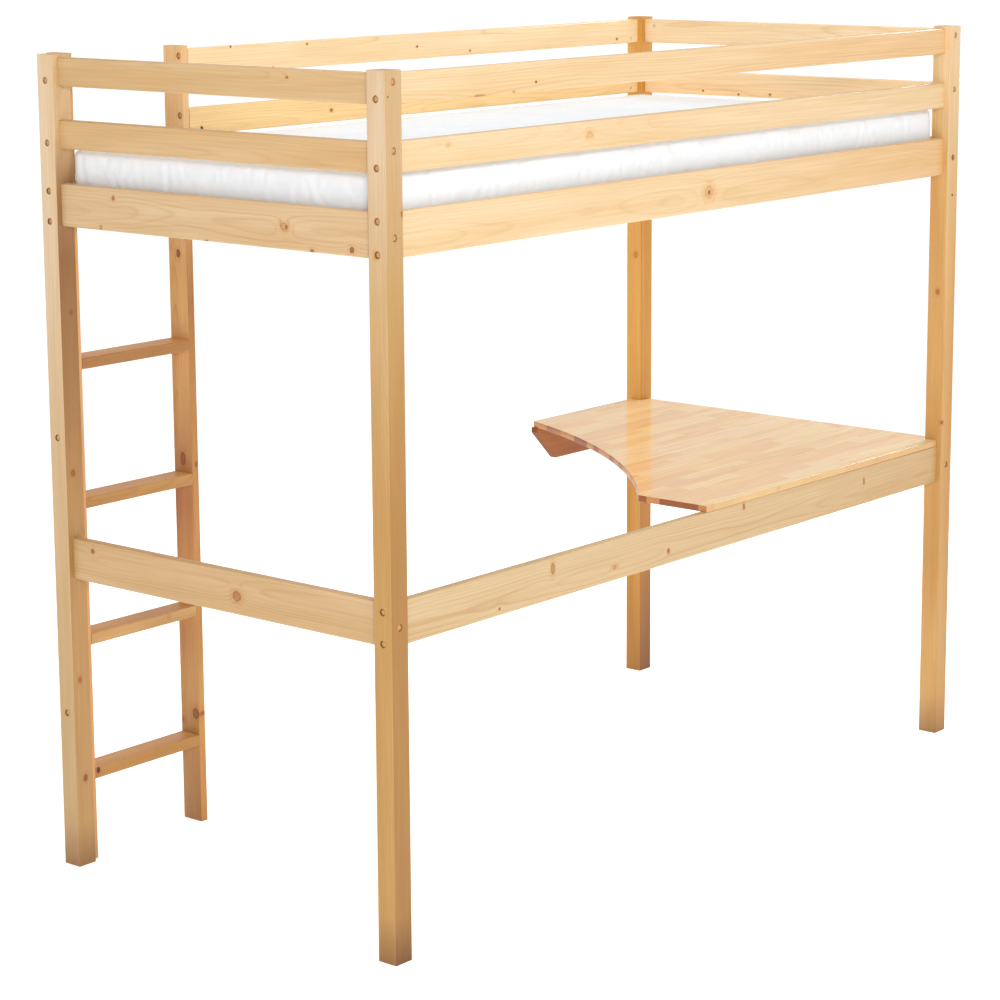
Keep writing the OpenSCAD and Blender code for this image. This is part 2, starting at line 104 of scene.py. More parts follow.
class Graph:
    """One material, with short calls that add linked nodes to it."""

    def __init__(self, name):
        self.material = bpy.data.materials.new(name)
        self.material.use_nodes = True
        self.tree = self.material.node_tree
        self.tree.nodes.clear()
        self.shader = self.tree.nodes.new("ShaderNodeBsdfPrincipled")
        output = self.tree.nodes.new("ShaderNodeOutputMaterial")
        self.tree.links.new(self.shader.outputs[0], output.inputs[0])
        self.position = self.tree.nodes.new("ShaderNodeTexCoord").outputs["Object"]
        self.normal = self.tree.nodes.new("ShaderNodeNewGeometry").outputs["Normal"]

    def put(self, socket, value):
        """Links a socket's output to an input, or sets the input to a plain value."""
        if isinstance(value, bpy.types.NodeSocket):
            self.tree.links.new(value, socket)
        elif socket.type == "RGBA" and len(value) == 3:
            socket.default_value = (*value, 1.0)
        else:
            socket.default_value = value

    def node(self, kind, values, output=0, **settings):
        made = self.tree.nodes.new(kind)
        for key, value in settings.items():
            setattr(made, key, value)
        for key, value in values.items():
            self.put(made.inputs[key], value)
        return made.outputs[output]

    def math(self, operation, *values, clamp=False):
        return self.node(
            "ShaderNodeMath", dict(enumerate(values)), operation=operation, use_clamp=clamp
        )

    def vector(self, operation, *values, output=0):
        return self.node(
            "ShaderNodeVectorMath", dict(enumerate(values)), output, operation=operation
        )

    def split(self, vector):
        made = self.tree.nodes.new("ShaderNodeSeparateXYZ")
        self.put(made.inputs[0], vector)
        return made.outputs[0], made.outputs[1], made.outputs[2]

    def join(self, x=0.0, y=0.0, z=0.0):
        return self.node("ShaderNodeCombineXYZ", {0: x, 1: y, 2: z})

    def noise(self, vector, scale=1.0, detail=2.0, roughness=0.5, colour=False):
        values = {"Vector": vector, "Scale": scale, "Detail": detail, "Roughness": roughness}
        return self.node("ShaderNodeTexNoise", values, "Color" if colour else "Fac")

    def ease(self, value, low, high, to_low=0.0, to_high=1.0):
        """Smooth step of value from low to high; low may be above high."""
        if low > high:
            low, high, to_low, to_high = high, low, to_high, to_low
        values = {0: value, 1: low, 2: high, 3: to_low, 4: to_high}
        return self.node("ShaderNodeMapRange", values, interpolation_type="SMOOTHSTEP")

    def ramp(self, value, *stops):
        made = self.tree.nodes.new("ShaderNodeValToRGB")
        self.put(made.inputs[0], value)
        points = made.color_ramp.elements
        while len(points) < len(stops):
            points.new(1.0)
        for point, (place, colour) in zip(points, stops):
            point.position = place
            if not isinstance(colour, tuple):
                colour = (colour, colour, colour)
            point.color = (*colour, 1.0)
        return made.outputs[0]

    def mix(self, factor, first, second, blend="MIX"):
        made = self.tree.nodes.new("ShaderNodeMix")
        made.data_type = "RGBA"
        made.blend_type = blend
        self.put(made.inputs["Factor"], factor)
        self.put(made.inputs[6], first)
        self.put(made.inputs[7], second)
        return made.outputs[2]

    def bump(self, height, strength, distance):
        values = {"Height": height, "Strength": strength, "Distance": distance}
        return self.node("ShaderNodeBump", values)

    def set(self, **values):
        """Sets the shader's own sockets; Base_Color stands for Base Color."""
        for key, value in values.items():
            self.put(self.shader.inputs[key.replace("_", " ")], value)

    def give(self, *names):
        """Makes this the only material of the named pieces."""
        for name in names:
            NODES[name].data.materials.clear()
            NODES[name].data.materials.append(self.material)


# ---------------------------------------------------------------- pine

LATEWOOD = (0.76, 0.58, 0.38)
KNOT_RIM = srgb(88, 46, 18)
KNOT_CORE = srgb(174, 96, 34)
KNOT_DARK = srgb(58, 30, 15)
KNOT_HALO = (0.94, 0.72, 0.44)
END_GRAIN = (0.80, 0.70, 0.58)
# Raw wood with painted shade, for the walls of the bored holes.
BORED_RAW_AND_SHADE = (0.72, 0.64, 0.54)
BORED_DEPTH = 0.0016
DARKNESS = 6  # where a knot's row holds its darkness
BLACK_KNOT = 1.0
RIGHT_THROUGH = 9000.0


def through_x(y, z, radius, dark=0.4, along=1.0, tall=1.0):
    """A knot that runs through a piece along X."""
    return (0, y, z, RIGHT_THROUGH, radius * along, radius * tall, dark)


def through_y(x, z, radius, dark=0.4, along=1.0, tall=1.0):
    """A knot that runs through a piece along Y."""
    return (x, 0, z, radius * along, RIGHT_THROUGH, radius * tall, dark)


def knot_shading(g, knots, position, spacing):
    """Phase bump, halo, core and rim of all the knots of one piece.
    A knot is (x, y, z, radius along x, y and z, darkness), in millimetres."""
    bump, halo, core, rim = 0.0, 0.0, 0.0, 0.0
    for x, y, z, rx, ry, rz, dark in knots:
        away = g.vector("SUBTRACT", position, tuple(placed((x, y, z))))
        scaled = g.vector("DIVIDE", away, (rx * MM, ry * MM, rz * MM))
        distance = g.vector("LENGTH", scaled, output="Value")
        peak = min(rx, ry, rz) * MM / spacing * 1.1
        square = g.math("MULTIPLY", distance, distance)
        fall = g.math("ADD", g.math("MULTIPLY", square, 0.35), 1.0)
        lift = g.math("DIVIDE", peak, fall)
        bump = g.math("ADD", bump, lift)
        halo = g.math("MAXIMUM", halo, g.ease(distance, 2.6, 0.9))
        inside = g.ease(distance, 1.10, 0.90)
        core = g.math("MAXIMUM", core, g.math("MULTIPLY", inside, 0.12 + 0.88 * dark))
        edge = g.math("MULTIPLY", inside, g.ease(distance, 0.45, 1.0, 0.20 + 0.5 * dark, 1.0))
        rings = g.math("FRACT", g.math("MULTIPLY", distance, 3.3))
        rings = g.math("ADD", g.math("MULTIPLY", rings, 0.06 + 0.3 * dark), 0.02 + 0.62 * dark)
        edge = g.math("MULTIPLY", edge, rings)
        rim = g.math("MAXIMUM", rim, edge)
    return bump, halo, core, rim


POST_HEIGHT = 1.766


def painted_shade_up(g, colour, stops):
    """Colour times a painted shade that changes up the piece; a stop is (height in metres, tone).
    """
    place = g.math("DIVIDE", g.split(g.position)[Z], POST_HEIGHT)
    tone = g.ramp(place, *[(z / POST_HEIGHT, tone) for z, tone in stops])
    return g.mix(1.0, colour, tone, "MULTIPLY")


def pine(name, along, nodes, pale, deep, pith, spacing, contrast, seed, knots=(), painted_shade_stops=None,
         far_end=None, pitch=None, shine=0.38, coat=0.05):
    """Knotty pine: growth rings round a wandering pith, fibre streaks, knots that part the grain
    and end grain across the ends.

    Pith is the pith's offset from the middle of the first node, and spacing is the rings', in mm.
    The height stops are stops of painted shade up the piece, for the faces that look along X and
    along Y. Far_end is a colour that a rail is multiplied by towards its high end. Pitch is (axis,
    step) for nodes that repeat: each gets rings of its own."""
    g = Graph(name)
    low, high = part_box(nodes[0])
    middle = (low + high) / 2
    across = [axis for axis in (X, Y, Z) if axis != along]
    local = g.split(g.vector("SUBTRACT", g.position, tuple(middle)))
    length = local[along]
    side = [local[axis] for axis in across]
    offset = [pith[0] * MM, pith[1] * MM]
    chance = seed
    if pitch:
        axis, step = pitch
        # Each of the repeated nodes measures from its own middle and draws its own pith.
        count = g.math("ROUND", g.math("DIVIDE", local[axis], step))
        side[across.index(axis)] = g.math("SUBTRACT", local[axis], g.math("MULTIPLY", count, step))
        chance = g.math("MULTIPLY", count, 3.71)
        drawn = g.node("ShaderNodeTexWhiteNoise", {"W": count}, "Color", noise_dimensions="1D")
        lucky = g.split(drawn)
        offset = [
            g.math("MULTIPLY", g.math("SUBTRACT", lucky[i], 0.5), 0.07 + 0.05 * i) for i in (0, 1)
        ]

    # The pith wanders along the piece, so that the faces cut the rings into long arches.
    slow = g.noise(g.join(g.math("MULTIPLY", length, 1.5), chance, 1.7), detail=1.0, colour=True)
    quick = g.noise(g.join(g.math("MULTIPLY", length, 7.0), chance, 8.3), detail=1.0, colour=True)
    slow, quick = g.split(slow), g.split(quick)
    squares = []
    for i in (0, 1):
        drift = g.math("MULTIPLY", g.math("SUBTRACT", slow[i], 0.5), 0.045)
        drift = g.math("ADD", drift, g.math("MULTIPLY", g.math("SUBTRACT", quick[i], 0.5), 0.0035))
        gap = g.math("ADD", g.math("SUBTRACT", side[i], offset[i]), drift)
        squares.append(g.math("MULTIPLY", gap, gap))
    radius = g.math("SQRT", g.math("ADD", *squares))

    streak_place = [g.math("MULTIPLY", length, 5.0)]
    streak_place += [g.math("MULTIPLY", value, 260.0) for value in side]
    streaks = g.noise(g.join(*streak_place), detail=3.0, roughness=0.6)
    fibre_place = [g.math("MULTIPLY", length, 40.0)]
    fibre_place += [g.math("MULTIPLY", value, 1500.0) for value in side]
    fibres = g.noise(g.join(*fibre_place), detail=1.0)
    broad_place = [g.math("ADD", g.math("MULTIPLY", length, 1.3), chance)]
    broad_place += [g.math("MULTIPLY", value, 17.0) for value in side]
    broad = g.noise(g.join(*broad_place), detail=2.0)

    wobble = g.noise(g.position, scale=42.0, detail=2.0, colour=True)
    wobble = g.vector("SUBTRACT", wobble, (0.5, 0.5, 0.5))
    wobble = g.vector("MULTIPLY", wobble, (0.0035, 0.0035, 0.0035))
    knotted = g.vector("ADD", g.position, wobble)
    bump, halo, core, rim = knot_shading(g, knots, knotted, spacing * MM)

    phase = g.math("DIVIDE", radius, spacing * MM)
    phase = g.math("ADD", phase, g.math("MULTIPLY", broad, 1.6))
    phase = g.math("ADD", phase, bump)
    ring = g.ramp(
        g.math("FRACT", phase),
        (0.0, 0.65), (0.06, 0.06), (0.50, 0.0), (0.78, 0.30), (0.93, 1.0), (1.0, 0.65),
    )
    years = g.noise(g.join(g.math("MULTIPLY", phase, 0.42), chance, 3.1), detail=1.0)
    strength = g.math("MULTIPLY", g.ease(years, 0.30, 0.72, 0.25, 1.0), contrast)
    strength = g.math("ADD", strength, g.math("MULTIPLY", halo, 0.35), clamp=True)
    ring = g.math("MULTIPLY", ring, strength)

    colour = g.mix(g.ease(broad, 0.28, 0.72), pale, deep)
    # Painted shade: the faces along X and along Y each darken towards the floor and under the bed,
    # by their height stops.
    if painted_shade_stops:
        on_y = g.math("GREATER_THAN", g.math("ABSOLUTE", g.split(g.normal)[Y]), 0.6)
        colour = g.mix(on_y, painted_shade_up(g, colour, painted_shade_stops[0]), painted_shade_up(g, colour, painted_shade_stops[1]))
    if far_end:
        reach = (high - low)[along] / 2
        colour = g.mix(g.ease(length, -0.2 * reach, reach), colour, far_end, "MULTIPLY")
    colour = g.mix(ring, colour, g.mix(1.0, colour, LATEWOOD, "MULTIPLY"))
    tone = g.ease(streaks, 0.25, 0.75, 0.0, 1.0)
    colour = g.mix(0.60, colour, g.mix(tone, (0.89, 0.83, 0.74), (1.04, 1.05, 1.06)), "MULTIPLY")
    grain_dots = g.ease(fibres, 0.60, 0.78)
    colour = g.mix(g.math("MULTIPLY", grain_dots, 0.10), colour, (0.45, 0.27, 0.12))
    if knots:
        colour = g.mix(g.math("MULTIPLY", halo, 0.50), colour, KNOT_HALO, "MULTIPLY")
        colour = g.mix(g.math("MULTIPLY", core, 0.90), colour, KNOT_CORE)
        colour = g.mix(rim, colour, KNOT_RIM)
        darkest = [knot for knot in knots if knot[DARKNESS] >= BLACK_KNOT]
        if darkest:
            dark_core = knot_shading(g, darkest, knotted, spacing * MM)[2]
            colour = g.mix(g.math("MULTIPLY", dark_core, 0.8), colour, KNOT_DARK)
    # The walls of the bored holes are the only faces well inside the piece; their darker colour is
    # raw wood with painted shade.
    half = (high - low) / 2
    depths = [g.math("SUBTRACT", half[i], g.math("ABSOLUTE", local[i])) for i in across]
    bored = g.math("GREATER_THAN", g.math("MINIMUM", *depths), BORED_DEPTH)
    cut = g.math("GREATER_THAN", g.math("ABSOLUTE", g.split(g.normal)[along]), 0.7)
    colour = g.mix(cut, colour, g.mix(1.0, colour, END_GRAIN, "MULTIPLY"))
    bored = g.math("MULTIPLY", bored, g.math("SUBTRACT", 1.0, cut))
    colour = g.mix(bored, colour, g.mix(1.0, colour, BORED_RAW_AND_SHADE, "MULTIPLY"))

    rough = g.math("ADD", g.math("MULTIPLY", streaks, 0.10), shine - 0.05)
    rough = g.math("ADD", rough, g.math("MULTIPLY", cut, 0.22))
    height = g.math("ADD", g.math("MULTIPLY", ring, -0.5), g.math("MULTIPLY", fibres, 0.35))
    height = g.math("ADD", height, g.math("MULTIPLY", streaks, 0.5))
    height = g.math("ADD", height, g.math("MULTIPLY", core, 0.9))
    g.set(Base_Color=colour, Roughness=rough, Normal=g.bump(height, 0.35, 0.00025))
    g.set(Coat_Weight=coat, Coat_Roughness=0.22, Specular_IOR_Level=0.32)
    g.give(*nodes)


def wood():
    """Every timber piece's own pine, with the clear knots in their places."""
    pine(
        "pine_post_front_left", Z, ["post_front_left"],
        pale=srgb(218, 194, 162), deep=srgb(211, 179, 141), pith=(60, -30), spacing=2.6,
        contrast=0.3, seed=1.3,
        painted_shade_stops=(
            [(0.0, (0.42, 0.27, 0.11)), (0.10, (0.75, 0.59, 0.28)), (0.9, (0.78, 0.62, 0.31)),
             (1.33, (0.86, 0.75, 0.55)), (1.6, (1.00, 1.00, 1.00))],
            [(0.0, (0.26, 0.14, 0.04)), (0.10, (0.54, 0.37, 0.14)), (0.9, (0.58, 0.40, 0.15)),
             (1.33, (0.70, 0.56, 0.30)), (1.6, (0.79, 0.70, 0.54))],
        ),
        knots=[
            (46, 0, 1494, 4.5, 9, 5.5, 0.7),
            (9, 0, 1717, 1.6, 4, 1.8, 1.0),
            (0, 28, 1416, 5, 5, 7, 0.2),
            (30, 48, 980, 6, 9, 8, 0.5),
            (48, 22, 520, 9, 6, 8, 0.6),
        ],
    )
    pine(
        "pine_post_back_left", Z, ["post_back_left"],
        pale=srgb(228, 202, 168), deep=srgb(221, 190, 148), pith=(-50, 40), spacing=2.4,
        contrast=0.5, seed=4.1,
        painted_shade_stops=(
            [(0.0, (0.42, 0.29, 0.17)), (0.10, (0.70, 0.62, 0.48)), (0.16, (0.73, 0.68, 0.54)),
             (0.6, (0.80, 0.73, 0.59)), (1.0, (0.87, 0.84, 0.80)), (1.75, (1.00, 1.00, 1.00))],
            [(0.0, (0.34, 0.23, 0.12)), (0.10, (0.60, 0.48, 0.29)), (0.8, (0.56, 0.42, 0.24)),
             (1.0, (0.46, 0.32, 0.18)), (1.34, (0.36, 0.24, 0.13)), (1.5, (0.53, 0.41, 0.34)),
             (1.6, (0.90, 0.88, 0.82))],
        ),
        knots=[
            (19, 930, 877, 5.5, 8, 7, 0.7),
            (29, 930, 1223, 3.5, 8, 5, 0.6),
            (19, 930, 420, 5.5, 8, 7, 0.6),
            (25, 930, 197, 6, 8, 8, 0.9),
        ],
    )
    pine(
        "pine_post_front_right", Z, ["post_front_right"],
        pale=srgb(238, 213, 172), deep=srgb(226, 189, 133), pith=(-34, -44), spacing=3.0,
        contrast=0.6, seed=7.7,
        painted_shade_stops=(
            [(0.0, (0.40, 0.30, 0.19)), (0.10, (0.68, 0.57, 0.40)), (0.22, (0.72, 0.61, 0.43)),
             (0.46, (0.61, 0.48, 0.29)), (0.96, (0.77, 0.60, 0.37)), (1.21, (0.72, 0.58, 0.37)),
             (1.46, (0.80, 0.67, 0.45)), (1.65, (1.00, 1.00, 1.00))],
            [(0.0, (0.38, 0.23, 0.07)), (0.10, (0.62, 0.44, 0.18)), (0.22, (0.67, 0.51, 0.26)),
             (0.96, (0.72, 0.53, 0.29)), (1.21, (0.82, 0.66, 0.44)), (1.46, (0.84, 0.79, 0.74)),
             (1.68, (0.91, 0.87, 0.85))],
        ),
        knots=[
            (2055, 0, 1357, 3.0, 5, 2.6, 1.2),
            (2033, 0, 796, 4.0, 6, 5, 0.7),
            (2030, 20, 1120, 5, 5, 7, 0.5),
        ],
    )
    pine(
        "pine_post_back_right", Z, ["post_back_right"],
        pale=srgb(233, 182, 98), deep=srgb(219, 158, 71), pith=(40, -60), spacing=3.2,
        contrast=0.7, seed=9.2,
        painted_shade_stops=(
            [(0.0, (0.50, 0.42, 0.34)), (0.3, (0.76, 0.72, 0.64)), (1.1, (1.00, 1.00, 1.00))],
            [(0.0, (0.26, 0.17, 0.08)), (0.3, (0.52, 0.40, 0.20)), (0.7, (0.67, 0.56, 0.33)),
             (1.1, (0.83, 0.76, 0.53))],
        ),
        knots=[(2030, 948, 1140, 5, 6, 8, 0.3), (2052, 930, 470, 6, 5, 7, 0.5)],
    )
    pine(
        "pine_stile_right", Z, ["ladder_stile_right"],
        pale=srgb(250, 213, 161), deep=srgb(226, 177, 119), pith=(-40, 18), spacing=2.6,
        contrast=0.65, seed=12.4,
        painted_shade_stops=(
            [(0.0, (0.39, 0.31, 0.21)), (0.07, (0.46, 0.38, 0.26)), (0.3, (0.57, 0.45, 0.27)),
             (0.52, (0.62, 0.45, 0.27)), (0.75, (0.45, 0.27, 0.15)), (0.97, (0.61, 0.49, 0.33)),
             (1.2, (0.74, 0.65, 0.47)), (1.7, (1.00, 1.00, 1.00))],
            [(0.0, (0.56, 0.45, 0.28)), (0.07, (0.66, 0.54, 0.34)), (0.3, (0.58, 0.45, 0.24)),
             (0.52, (0.50, 0.34, 0.19)), (0.97, (0.53, 0.40, 0.27)), (1.2, (0.45, 0.33, 0.21)),
             (1.4, (0.74, 0.64, 0.52)), (1.6, (1.00, 1.00, 1.00))],
        ),
        knots=[
            through_x(973, 845, 9, 0.85, 0.9, 1.7),
            through_x(954, 255, 10, 0.9, 1.0, 1.25),
            through_x(1000, 234, 7, 0.5),
            through_x(971, 1309, 7, 0.9, 0.9, 1.3),
            (396, 944, 834, 4, 6, 6, 0.8),
        ],
    )
    pine(
        "pine_stile_left", Z, ["ladder_stile_left"],
        pale=srgb(226, 184, 134), deep=srgb(210, 160, 106), pith=(40, 22), spacing=2.8,
        contrast=0.55, seed=14.9,
        painted_shade_stops=[
            [(0.0, (0.70, 0.62, 0.52)), (0.10, (0.92, 0.84, 0.74)), (1.75, (1.00, 1.00, 1.00))]
        ] * 2,
        knots=[through_x(968, 1180, 6, 0.5), through_x(985, 610, 8, 0.6)],
    )

    far_rail = dict(pale=srgb(250, 226, 184), deep=srgb(247, 214, 166))
    rail = dict(pale=srgb(228, 201, 162), deep=srgb(223, 191, 144))
    pine(
        "pine_side_board_front", X, ["side_board_front"], pith=(46, -12), spacing=4.2,
        contrast=0.26, seed=21.0, far_end=(0.95, 0.84, 0.70),
        knots=[through_y(1059, 1448, 13, 0.05, 1.15), through_y(1060, 1447, 4.5, 0.8)], **rail,
    )
    pine(
        "pine_side_board_back", X, ["side_board_back"], pith=(-40, 20), spacing=4.0,
        contrast=0.45, seed=23.0,
        knots=[through_y(640, 1440, 9, 0.5), through_y(1490, 1462, 11, 0.4)], **rail,
    )
    end = dict(pale=srgb(216, 186, 145), deep=srgb(207, 171, 124))
    pine(
        "pine_end_board_left", Y, ["end_board_left"], pith=(38, -6), spacing=4.0, contrast=0.55,
        seed=25.0,
        knots=[
            through_x(771, 1476, 4.5, 0.6),
            through_x(812, 1413, 4, 0.3),
            (16, 283, 1453, 9, 11, 8, 0.22),
            (14, 276, 1451, 6, 3.5, 5, 0.7),
            (14, 500, 1408, 6, 4, 2.5, 0.8),
            through_x(208, 1409, 5, 0.75),
            through_x(103, 1420, 6, 0.75),
        ], **end,
    )
    pine(
        "pine_end_board_right", Y, ["end_board_right"], pith=(-36, 24), spacing=3.8,
        contrast=0.5, seed=27.0, knots=[through_x(330, 1450, 9, 0.5)], **end,
    )

    pine(
        "pine_guard_front_upper", X, ["guard_rail_front_upper"], pith=(34, -46), spacing=4.4,
        contrast=0.5, seed=31.0, far_end=(0.98, 0.88, 0.76),
        knots=[
            (292, 14, 1701, 16, 8, 3, 0.5),
            (466, 14, 1719, 2.2, 6, 2.6, 1.0),
            (396, 14, 1703, 3, 6, 1.6, 0.6),
        ], **rail,
    )
    pine(
        "pine_guard_front_lower", X, ["guard_rail_front_lower"], pith=(52, 12), spacing=4.6,
        contrast=0.24, seed=33.0,
        knots=[through_y(640, 1602, 7, 0.0, 1.2), through_y(196, 1612, 4, 0.0, 1.4)], **rail,
    )
    pine(
        "pine_guard_back_upper", X, ["guard_rail_back_upper"], pith=(-42, 28), spacing=3.9,
        contrast=0.5, seed=35.0,
        knots=[
            (535, 944, 1757, 3, 8, 2.4, 0.9),
            (780, 944, 1752, 3, 8, 2.4, 0.9),
            (667, 944, 1704, 3, 8, 2.6, 0.9),
            (1159, 944, 1729, 3.4, 8, 2.8, 0.9),
            (1353, 944, 1710, 3.2, 8, 2.6, 0.9),
            (1941, 944, 1713, 3.4, 8, 3, 0.9),
        ], **far_rail,
    )
    pine(
        "pine_guard_back_lower", X, ["guard_rail_back_lower"], pith=(-46, -20), spacing=4.1,
        contrast=0.45, seed=37.0,
        knots=[(440, 944, 1583, 4, 8, 5, 1.0), (857, 944, 1597, 5, 8, 4, 0.7)],
        pale=srgb(250, 217, 158), deep=srgb(246, 206, 144),
    )
    pine(
        "pine_guard_right_upper", Y, ["guard_rail_right_upper"], pith=(40, 14), spacing=4.0,
        contrast=0.35, seed=39.0, pale=srgb(249, 223, 183), deep=srgb(244, 213, 167),
    )
    pine(
        "pine_guard_right_lower", Y, ["guard_rail_right_lower"], pith=(44, -18), spacing=4.2,
        contrast=0.45, seed=41.0, pale=srgb(253, 223, 179), deep=srgb(249, 212, 164),
        knots=[
            (2044, 742, 1582, 8, 3, 2.6, 0.9),
            (2044, 630, 1577, 8, 3, 2.6, 0.9),
            (2044, 533, 1580, 8, 3, 2.6, 0.9),
        ],
    )
    pine(
        "pine_guard_left_upper", Y, ["guard_rail_left_upper"], pith=(-42, 18), spacing=3.9,
        contrast=0.34, seed=43.0, pale=srgb(215, 183, 138), deep=srgb(206, 168, 117),
        knots=[(14, 267, 1743, 8, 3.5, 2.6, 0.8)],
    )
    pine(
        "pine_guard_left_lower", Y, ["guard_rail_left_lower"], pith=(-44, -16), spacing=4.3,
        contrast=0.34, seed=45.0, pale=srgb(214, 180, 134), deep=srgb(205, 165, 111),
    )

    pine(
        "pine_desk_rail_front", X, ["desk_rail_front"], pith=(18, -16), spacing=5.0,
        contrast=0.6, seed=51.0, pale=srgb(206, 180, 139), deep=srgb(201, 170, 124),
        far_end=(0.94, 0.88, 0.78),
        knots=[
            through_y(918, 674, 5, 0.75),
            through_y(725, 674, 5, 0.3, 1.3),
            through_y(515, 711, 8, 0.45, 0.8, 1.5),
            through_y(342, 659, 3, 0.9),
            (1203, 14, 724, 4, 8, 7, 0.7),
            (1702, 14, 701, 3.5, 8, 8, 0.7),
        ],
    )
    pine(
        "pine_desk_rail_left", Y, ["desk_rail_left"], pith=(30, 12), spacing=4.4,
        contrast=0.55, seed=53.0, pale=srgb(211, 180, 138), deep=srgb(202, 165, 117),
        knots=[through_x(438, 684, 11, 0.45, 1.1), through_x(870, 715, 5, 0.8)],
    )
    pine(
        "pine_desk_rail_right", Y, ["desk_rail_right"], pith=(-34, 14), spacing=4.2,
        contrast=0.5, seed=55.0, knots=[through_x(300, 690, 8, 0.5)],
        pale=srgb(215, 179, 134), deep=srgb(204, 162, 111),
    )
    # The back desk rail's dark colours are partly the wood's own deeper tone and partly painted
    # shade.
    pine(
        "pine_desk_rail_back", X, ["desk_rail_back"], pith=(30, -20), spacing=4.0,
        contrast=0.6, seed=57.0, knots=[through_y(1830, 700, 6, 0.5)],
        pale=srgb(150, 90, 29), deep=srgb(137, 78, 22),
    )

    pine(
        "pine_rungs", X, ["rung_1", "rung_2", "rung_3", "rung_4"], pith=(20, -30), spacing=3.0,
        contrast=0.55, seed=61.0, pitch=(Z, 0.304), pale=srgb(222, 174, 118),
        deep=srgb(204, 150, 92),
        painted_shade_stops=(
            [(0.0, (0.96, 0.94, 0.90)), (1.7, (0.96, 0.94, 0.90))],
            [(0.19, (0.68, 0.65, 0.45)), (0.49, (0.80, 0.86, 0.82)), (0.80, (0.65, 0.61, 0.46)),
             (1.1, (0.58, 0.53, 0.44))],
        ),
        knots=[(75, 944, 199, 5, 5, 7, 1.0), (300, 950, 500, 5, 6, 5, 0.5)],
    )
    base = dict(pale=srgb(236, 208, 164), deep=srgb(226, 190, 140), shine=0.62, coat=0.0)
    pine(
        "pine_ledgers", X, ["slat_ledger_front", "slat_ledger_back"], pith=(40, -30),
        spacing=3.6, contrast=0.5, seed=63.0, pitch=(Y, 0.882), **base,
    )
    slats = [f"slat_{number}" for number in range(1, 15)]
    pine(
        "pine_slats", Y, slats, pith=(30, -40), spacing=3.8, contrast=0.55, seed=65.0,
        pitch=(X, 0.1403), **base,
    )


# ---------------------------------------------------------------- desktop

STAVE_WIDTH = 0.036
STAVE_LENGTH = 0.27
STAVE_RINGS = 0.0034
TOOTH = 0.0022
PITH_DEPTH = 0.705


